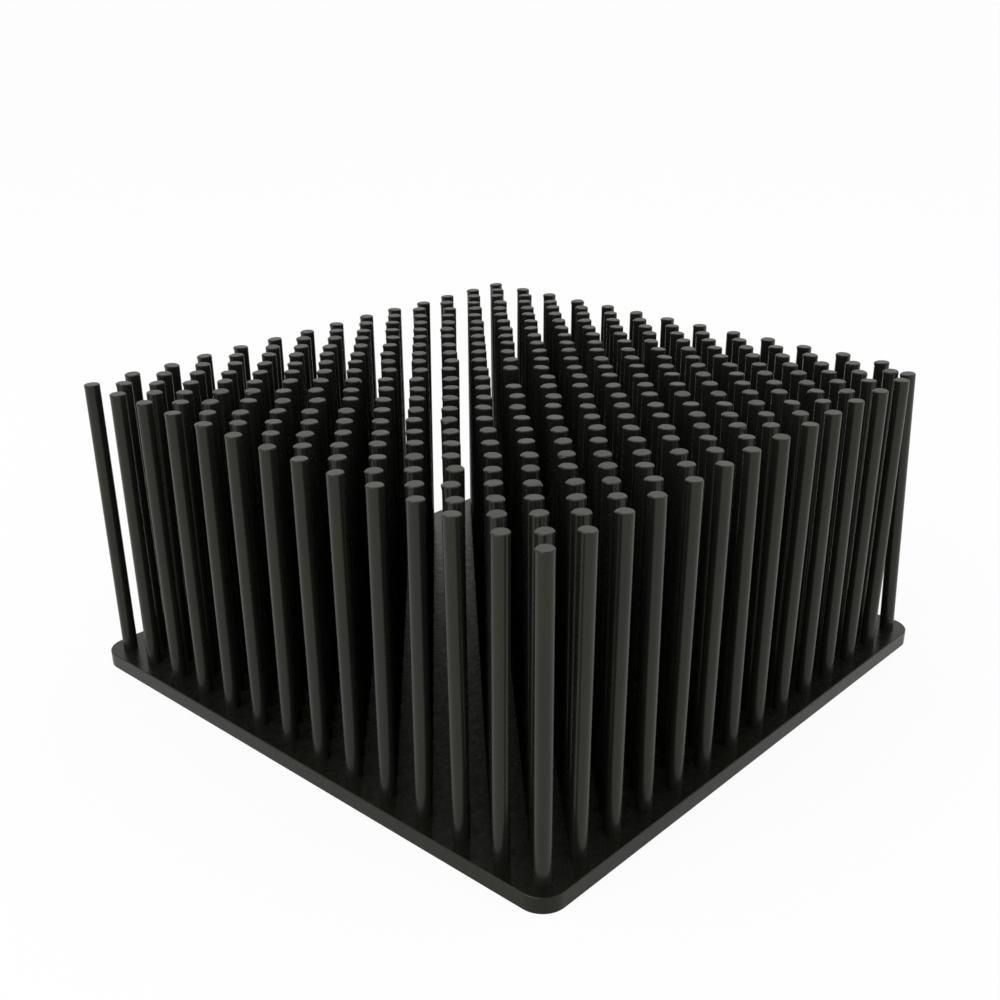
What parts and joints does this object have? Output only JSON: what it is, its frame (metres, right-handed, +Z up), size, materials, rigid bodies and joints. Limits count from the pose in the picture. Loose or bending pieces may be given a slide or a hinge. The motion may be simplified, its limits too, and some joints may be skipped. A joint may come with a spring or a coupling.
{
  "type": "pin fin heat sink",
  "caption": "Square plate with a dense staggered field of slim round cooling pins, forged in one piece and anodised black.",
  "frame": {"origin": "centre of the plate's underside, the flat face that lies on the part to be cooled", "axes": "+Z up along the pins, +X and +Y along the plate's sides; the bent corner pin stands at +X, -Y"},
  "size_m": [0.12, 0.12, 0.059],
  "materials": {
    "black_anodised": "satin black anodised"
  },
  "bodies": {
    "root": {"heat_sink": "black_anodised"}
  },
  "joints": []
}
